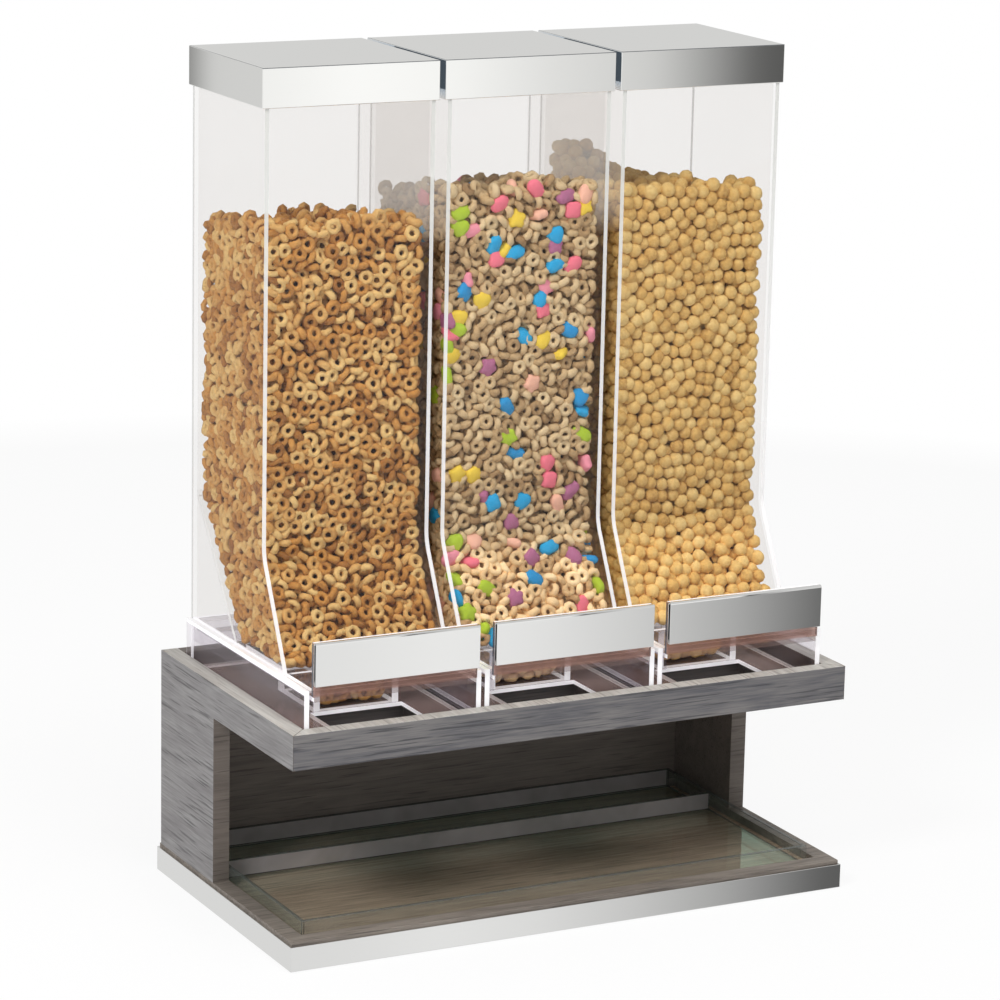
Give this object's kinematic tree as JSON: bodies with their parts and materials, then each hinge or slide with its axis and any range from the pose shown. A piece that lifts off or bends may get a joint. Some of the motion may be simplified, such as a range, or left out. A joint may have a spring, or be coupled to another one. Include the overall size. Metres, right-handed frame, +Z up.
{
  "type": "gravity bulk food bin",
  "caption": "Countertop gravity dispenser for dry food: clear lidded hoppers with pull-out metering slides on a grey wood and steel stand with a crumb tray.",
  "frame": {"origin": "on the table, under the middle of the base", "axes": "+X to the right across the bins seen from the front, +Y from the front to the back, +Z up"},
  "size_m": [0.4432, 0.2392, 0.6115],
  "materials": {
    "grey_wood": "matt grey-washed wood with darker grain",
    "polished_steel": "polished",
    "brushed_steel": "finely brushed",
    "satin_steel": "satin",
    "zinc_steel": "plain",
    "rubber": "matt",
    "acrylic": "clear, polished, bright cut edges",
    "tray_acrylic": "clear, polished"
  },
  "bodies": {
    "stand": {"base_board": "grey_wood", "band_front": "polished_steel", "band_rear": "polished_steel", "band_left": "polished_steel", "band_right": "polished_steel", "base_feet": "rubber", "column_screws": "zinc_steel", "side_left": "grey_wood", "side_right": "grey_wood", "back_panel": "grey_wood", "shelf_deck": "grey_wood", "shelf_front_rail": "grey_wood"},
    "tray": {"tray": "tray_acrylic"},
    "left_bin": {"left_hopper": "acrylic", "left_ramp": "acrylic", "left_cheeks": "acrylic", "left_channel_floor": "acrylic", "left_channel_back": "acrylic", "left_guide_rails": "acrylic", "left_cover_plate": "acrylic", "left_stop_bar": "acrylic"},
    "left_slide": {"left_slide_plate": "acrylic", "left_measure": "acrylic", "left_front_panel": "acrylic", "left_label_holder": "satin_steel"},
    "left_cap": {"left_lid": "brushed_steel", "left_lid_liner": "acrylic"},
    "middle_bin": {"middle_hopper": "acrylic", "middle_ramp": "acrylic", "middle_cheeks": "acrylic", "middle_channel_floor": "acrylic", "middle_channel_back": "acrylic", "middle_guide_rails": "acrylic", "middle_cover_plate": "acrylic", "middle_stop_bar": "acrylic"},
    "middle_slide": {"middle_slide_plate": "acrylic", "middle_measure": "acrylic", "middle_front_panel": "acrylic", "middle_label_holder": "satin_steel"},
    "middle_cap": {"middle_lid": "brushed_steel", "middle_lid_liner": "acrylic"},
    "right_bin": {"right_hopper": "acrylic", "right_ramp": "acrylic", "right_cheeks": "acrylic", "right_channel_floor": "acrylic", "right_channel_back": "acrylic", "right_guide_rails": "acrylic", "right_cover_plate": "acrylic", "right_stop_bar": "acrylic"},
    "right_slide": {"right_slide_plate": "acrylic", "right_measure": "acrylic", "right_front_panel": "acrylic", "right_label_holder": "satin_steel"},
    "right_cap": {"right_lid": "brushed_steel", "right_lid_liner": "acrylic"}
  },
  "joints": [
    {"name": "tray_lift", "type": "slide", "parent": "stand", "child": "tray", "axis": [0, 0, 1], "range_m": [0, 0.1]},
    {"name": "left_bin_lift", "type": "slide", "parent": "stand", "child": "left_bin", "axis": [0, 0, 1], "range_m": [0, 0.06]},
    {"name": "left_slide_pull", "type": "slide", "parent": "left_bin", "child": "left_slide", "axis": [0, -1, 0], "range_m": [0, 0.055]},
    {"name": "left_lid_lift", "type": "slide", "parent": "left_bin", "child": "left_cap", "axis": [0, 0, 1], "range_m": [0, 0.06]},
    {"name": "middle_bin_lift", "type": "slide", "parent": "stand", "child": "middle_bin", "axis": [0, 0, 1], "range_m": [0, 0.06]},
    {"name": "middle_slide_pull", "type": "slide", "parent": "middle_bin", "child": "middle_slide", "axis": [0, -1, 0], "range_m": [0, 0.055]},
    {"name": "middle_lid_lift", "type": "slide", "parent": "middle_bin", "child": "middle_cap", "axis": [0, 0, 1], "range_m": [0, 0.06]},
    {"name": "right_bin_lift", "type": "slide", "parent": "stand", "child": "right_bin", "axis": [0, 0, 1], "range_m": [0, 0.06]},
    {"name": "right_slide_pull", "type": "slide", "parent": "right_bin", "child": "right_slide", "axis": [0, -1, 0], "range_m": [0, 0.055]},
    {"name": "right_lid_lift", "type": "slide", "parent": "right_bin", "child": "right_cap", "axis": [0, 0, 1], "range_m": [0, 0.06]}
  ]
}
